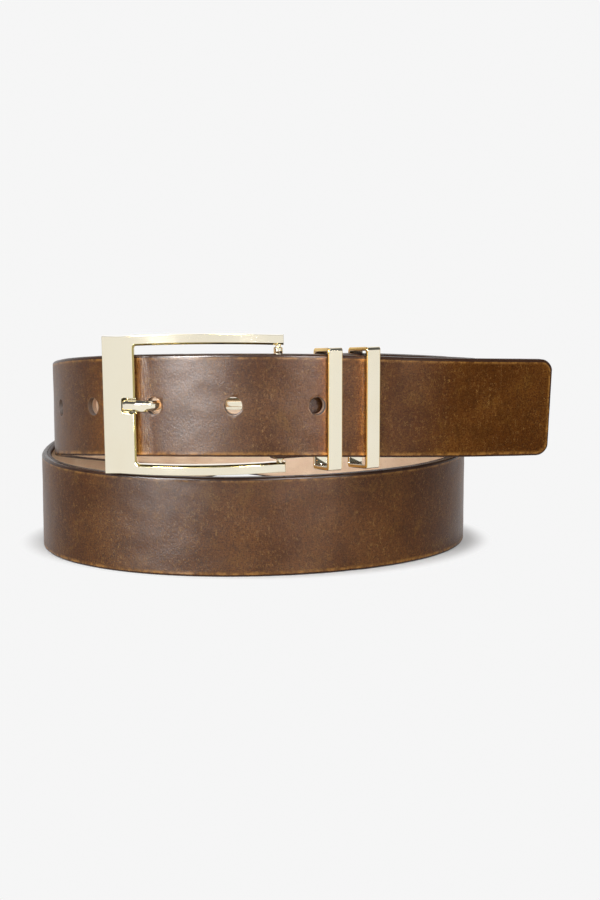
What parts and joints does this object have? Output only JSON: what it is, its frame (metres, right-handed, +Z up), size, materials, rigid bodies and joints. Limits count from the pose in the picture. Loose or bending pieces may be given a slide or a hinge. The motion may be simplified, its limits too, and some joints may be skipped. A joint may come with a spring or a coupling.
{
  "type": "leather belt",
  "caption": "Leather dress belt, buckled and stood on edge in a coil, with a bowed rectangular pin buckle, metal keeper loops and a pale leather lining.",
  "frame": {"origin": "centre of the coil's footprint, on the surface it stands on", "axes": "+X along the front from the buckle side to the keeper side, -Y to the front, +Z up"},
  "size_m": [0.172, 0.1462, 0.0779],
  "materials": {
    "face_leather": "brown waxed full-grain leather, dark painted edges",
    "lining_leather": "pale vegetable-tan lining, unfinished",
    "pale_gold": "polished, pale gold plate"
  },
  "bodies": {
    "strap": {"strap_outer": "face_leather", "strap_lining": "lining_leather", "fold_screw_1_post": "pale_gold", "fold_screw_1_screw": "pale_gold", "fold_screw_2_post": "pale_gold", "fold_screw_2_screw": "pale_gold"},
    "buckle": {"buckle_frame": "pale_gold", "heel_bar": "pale_gold"},
    "prong": {"prong": "pale_gold"},
    "keeper_near": {"keeper_near": "pale_gold"},
    "keeper_far": {"keeper_far": "pale_gold"}
  },
  "joints": [
    {"name": "buckle_hinge", "type": "hinge", "parent": "strap", "child": "buckle", "pos_m": [-0.0049, -0.06486, 0.05559], "axis": [-0.0139, 0.0009, 0.9999], "range_deg": [-0.3, 0.8]},
    {"name": "prong_hinge", "type": "hinge", "parent": "buckle", "child": "prong", "pos_m": [-0.0049, -0.06486, 0.05559], "axis": [-0.0139, 0.0009, 0.9999], "range_deg": [-0.2, 0.3]},
    {"name": "keeper_near_slide", "type": "slide", "parent": "strap", "child": "keeper_near", "axis": [0.9345, 0.3507, -0.0611], "range_m": [0, 0.004]},
    {"name": "keeper_far_slide", "type": "slide", "parent": "strap", "child": "keeper_far", "axis": [0.8917, 0.4461, -0.0761], "range_m": [-0.003, 0.006]}
  ]
}
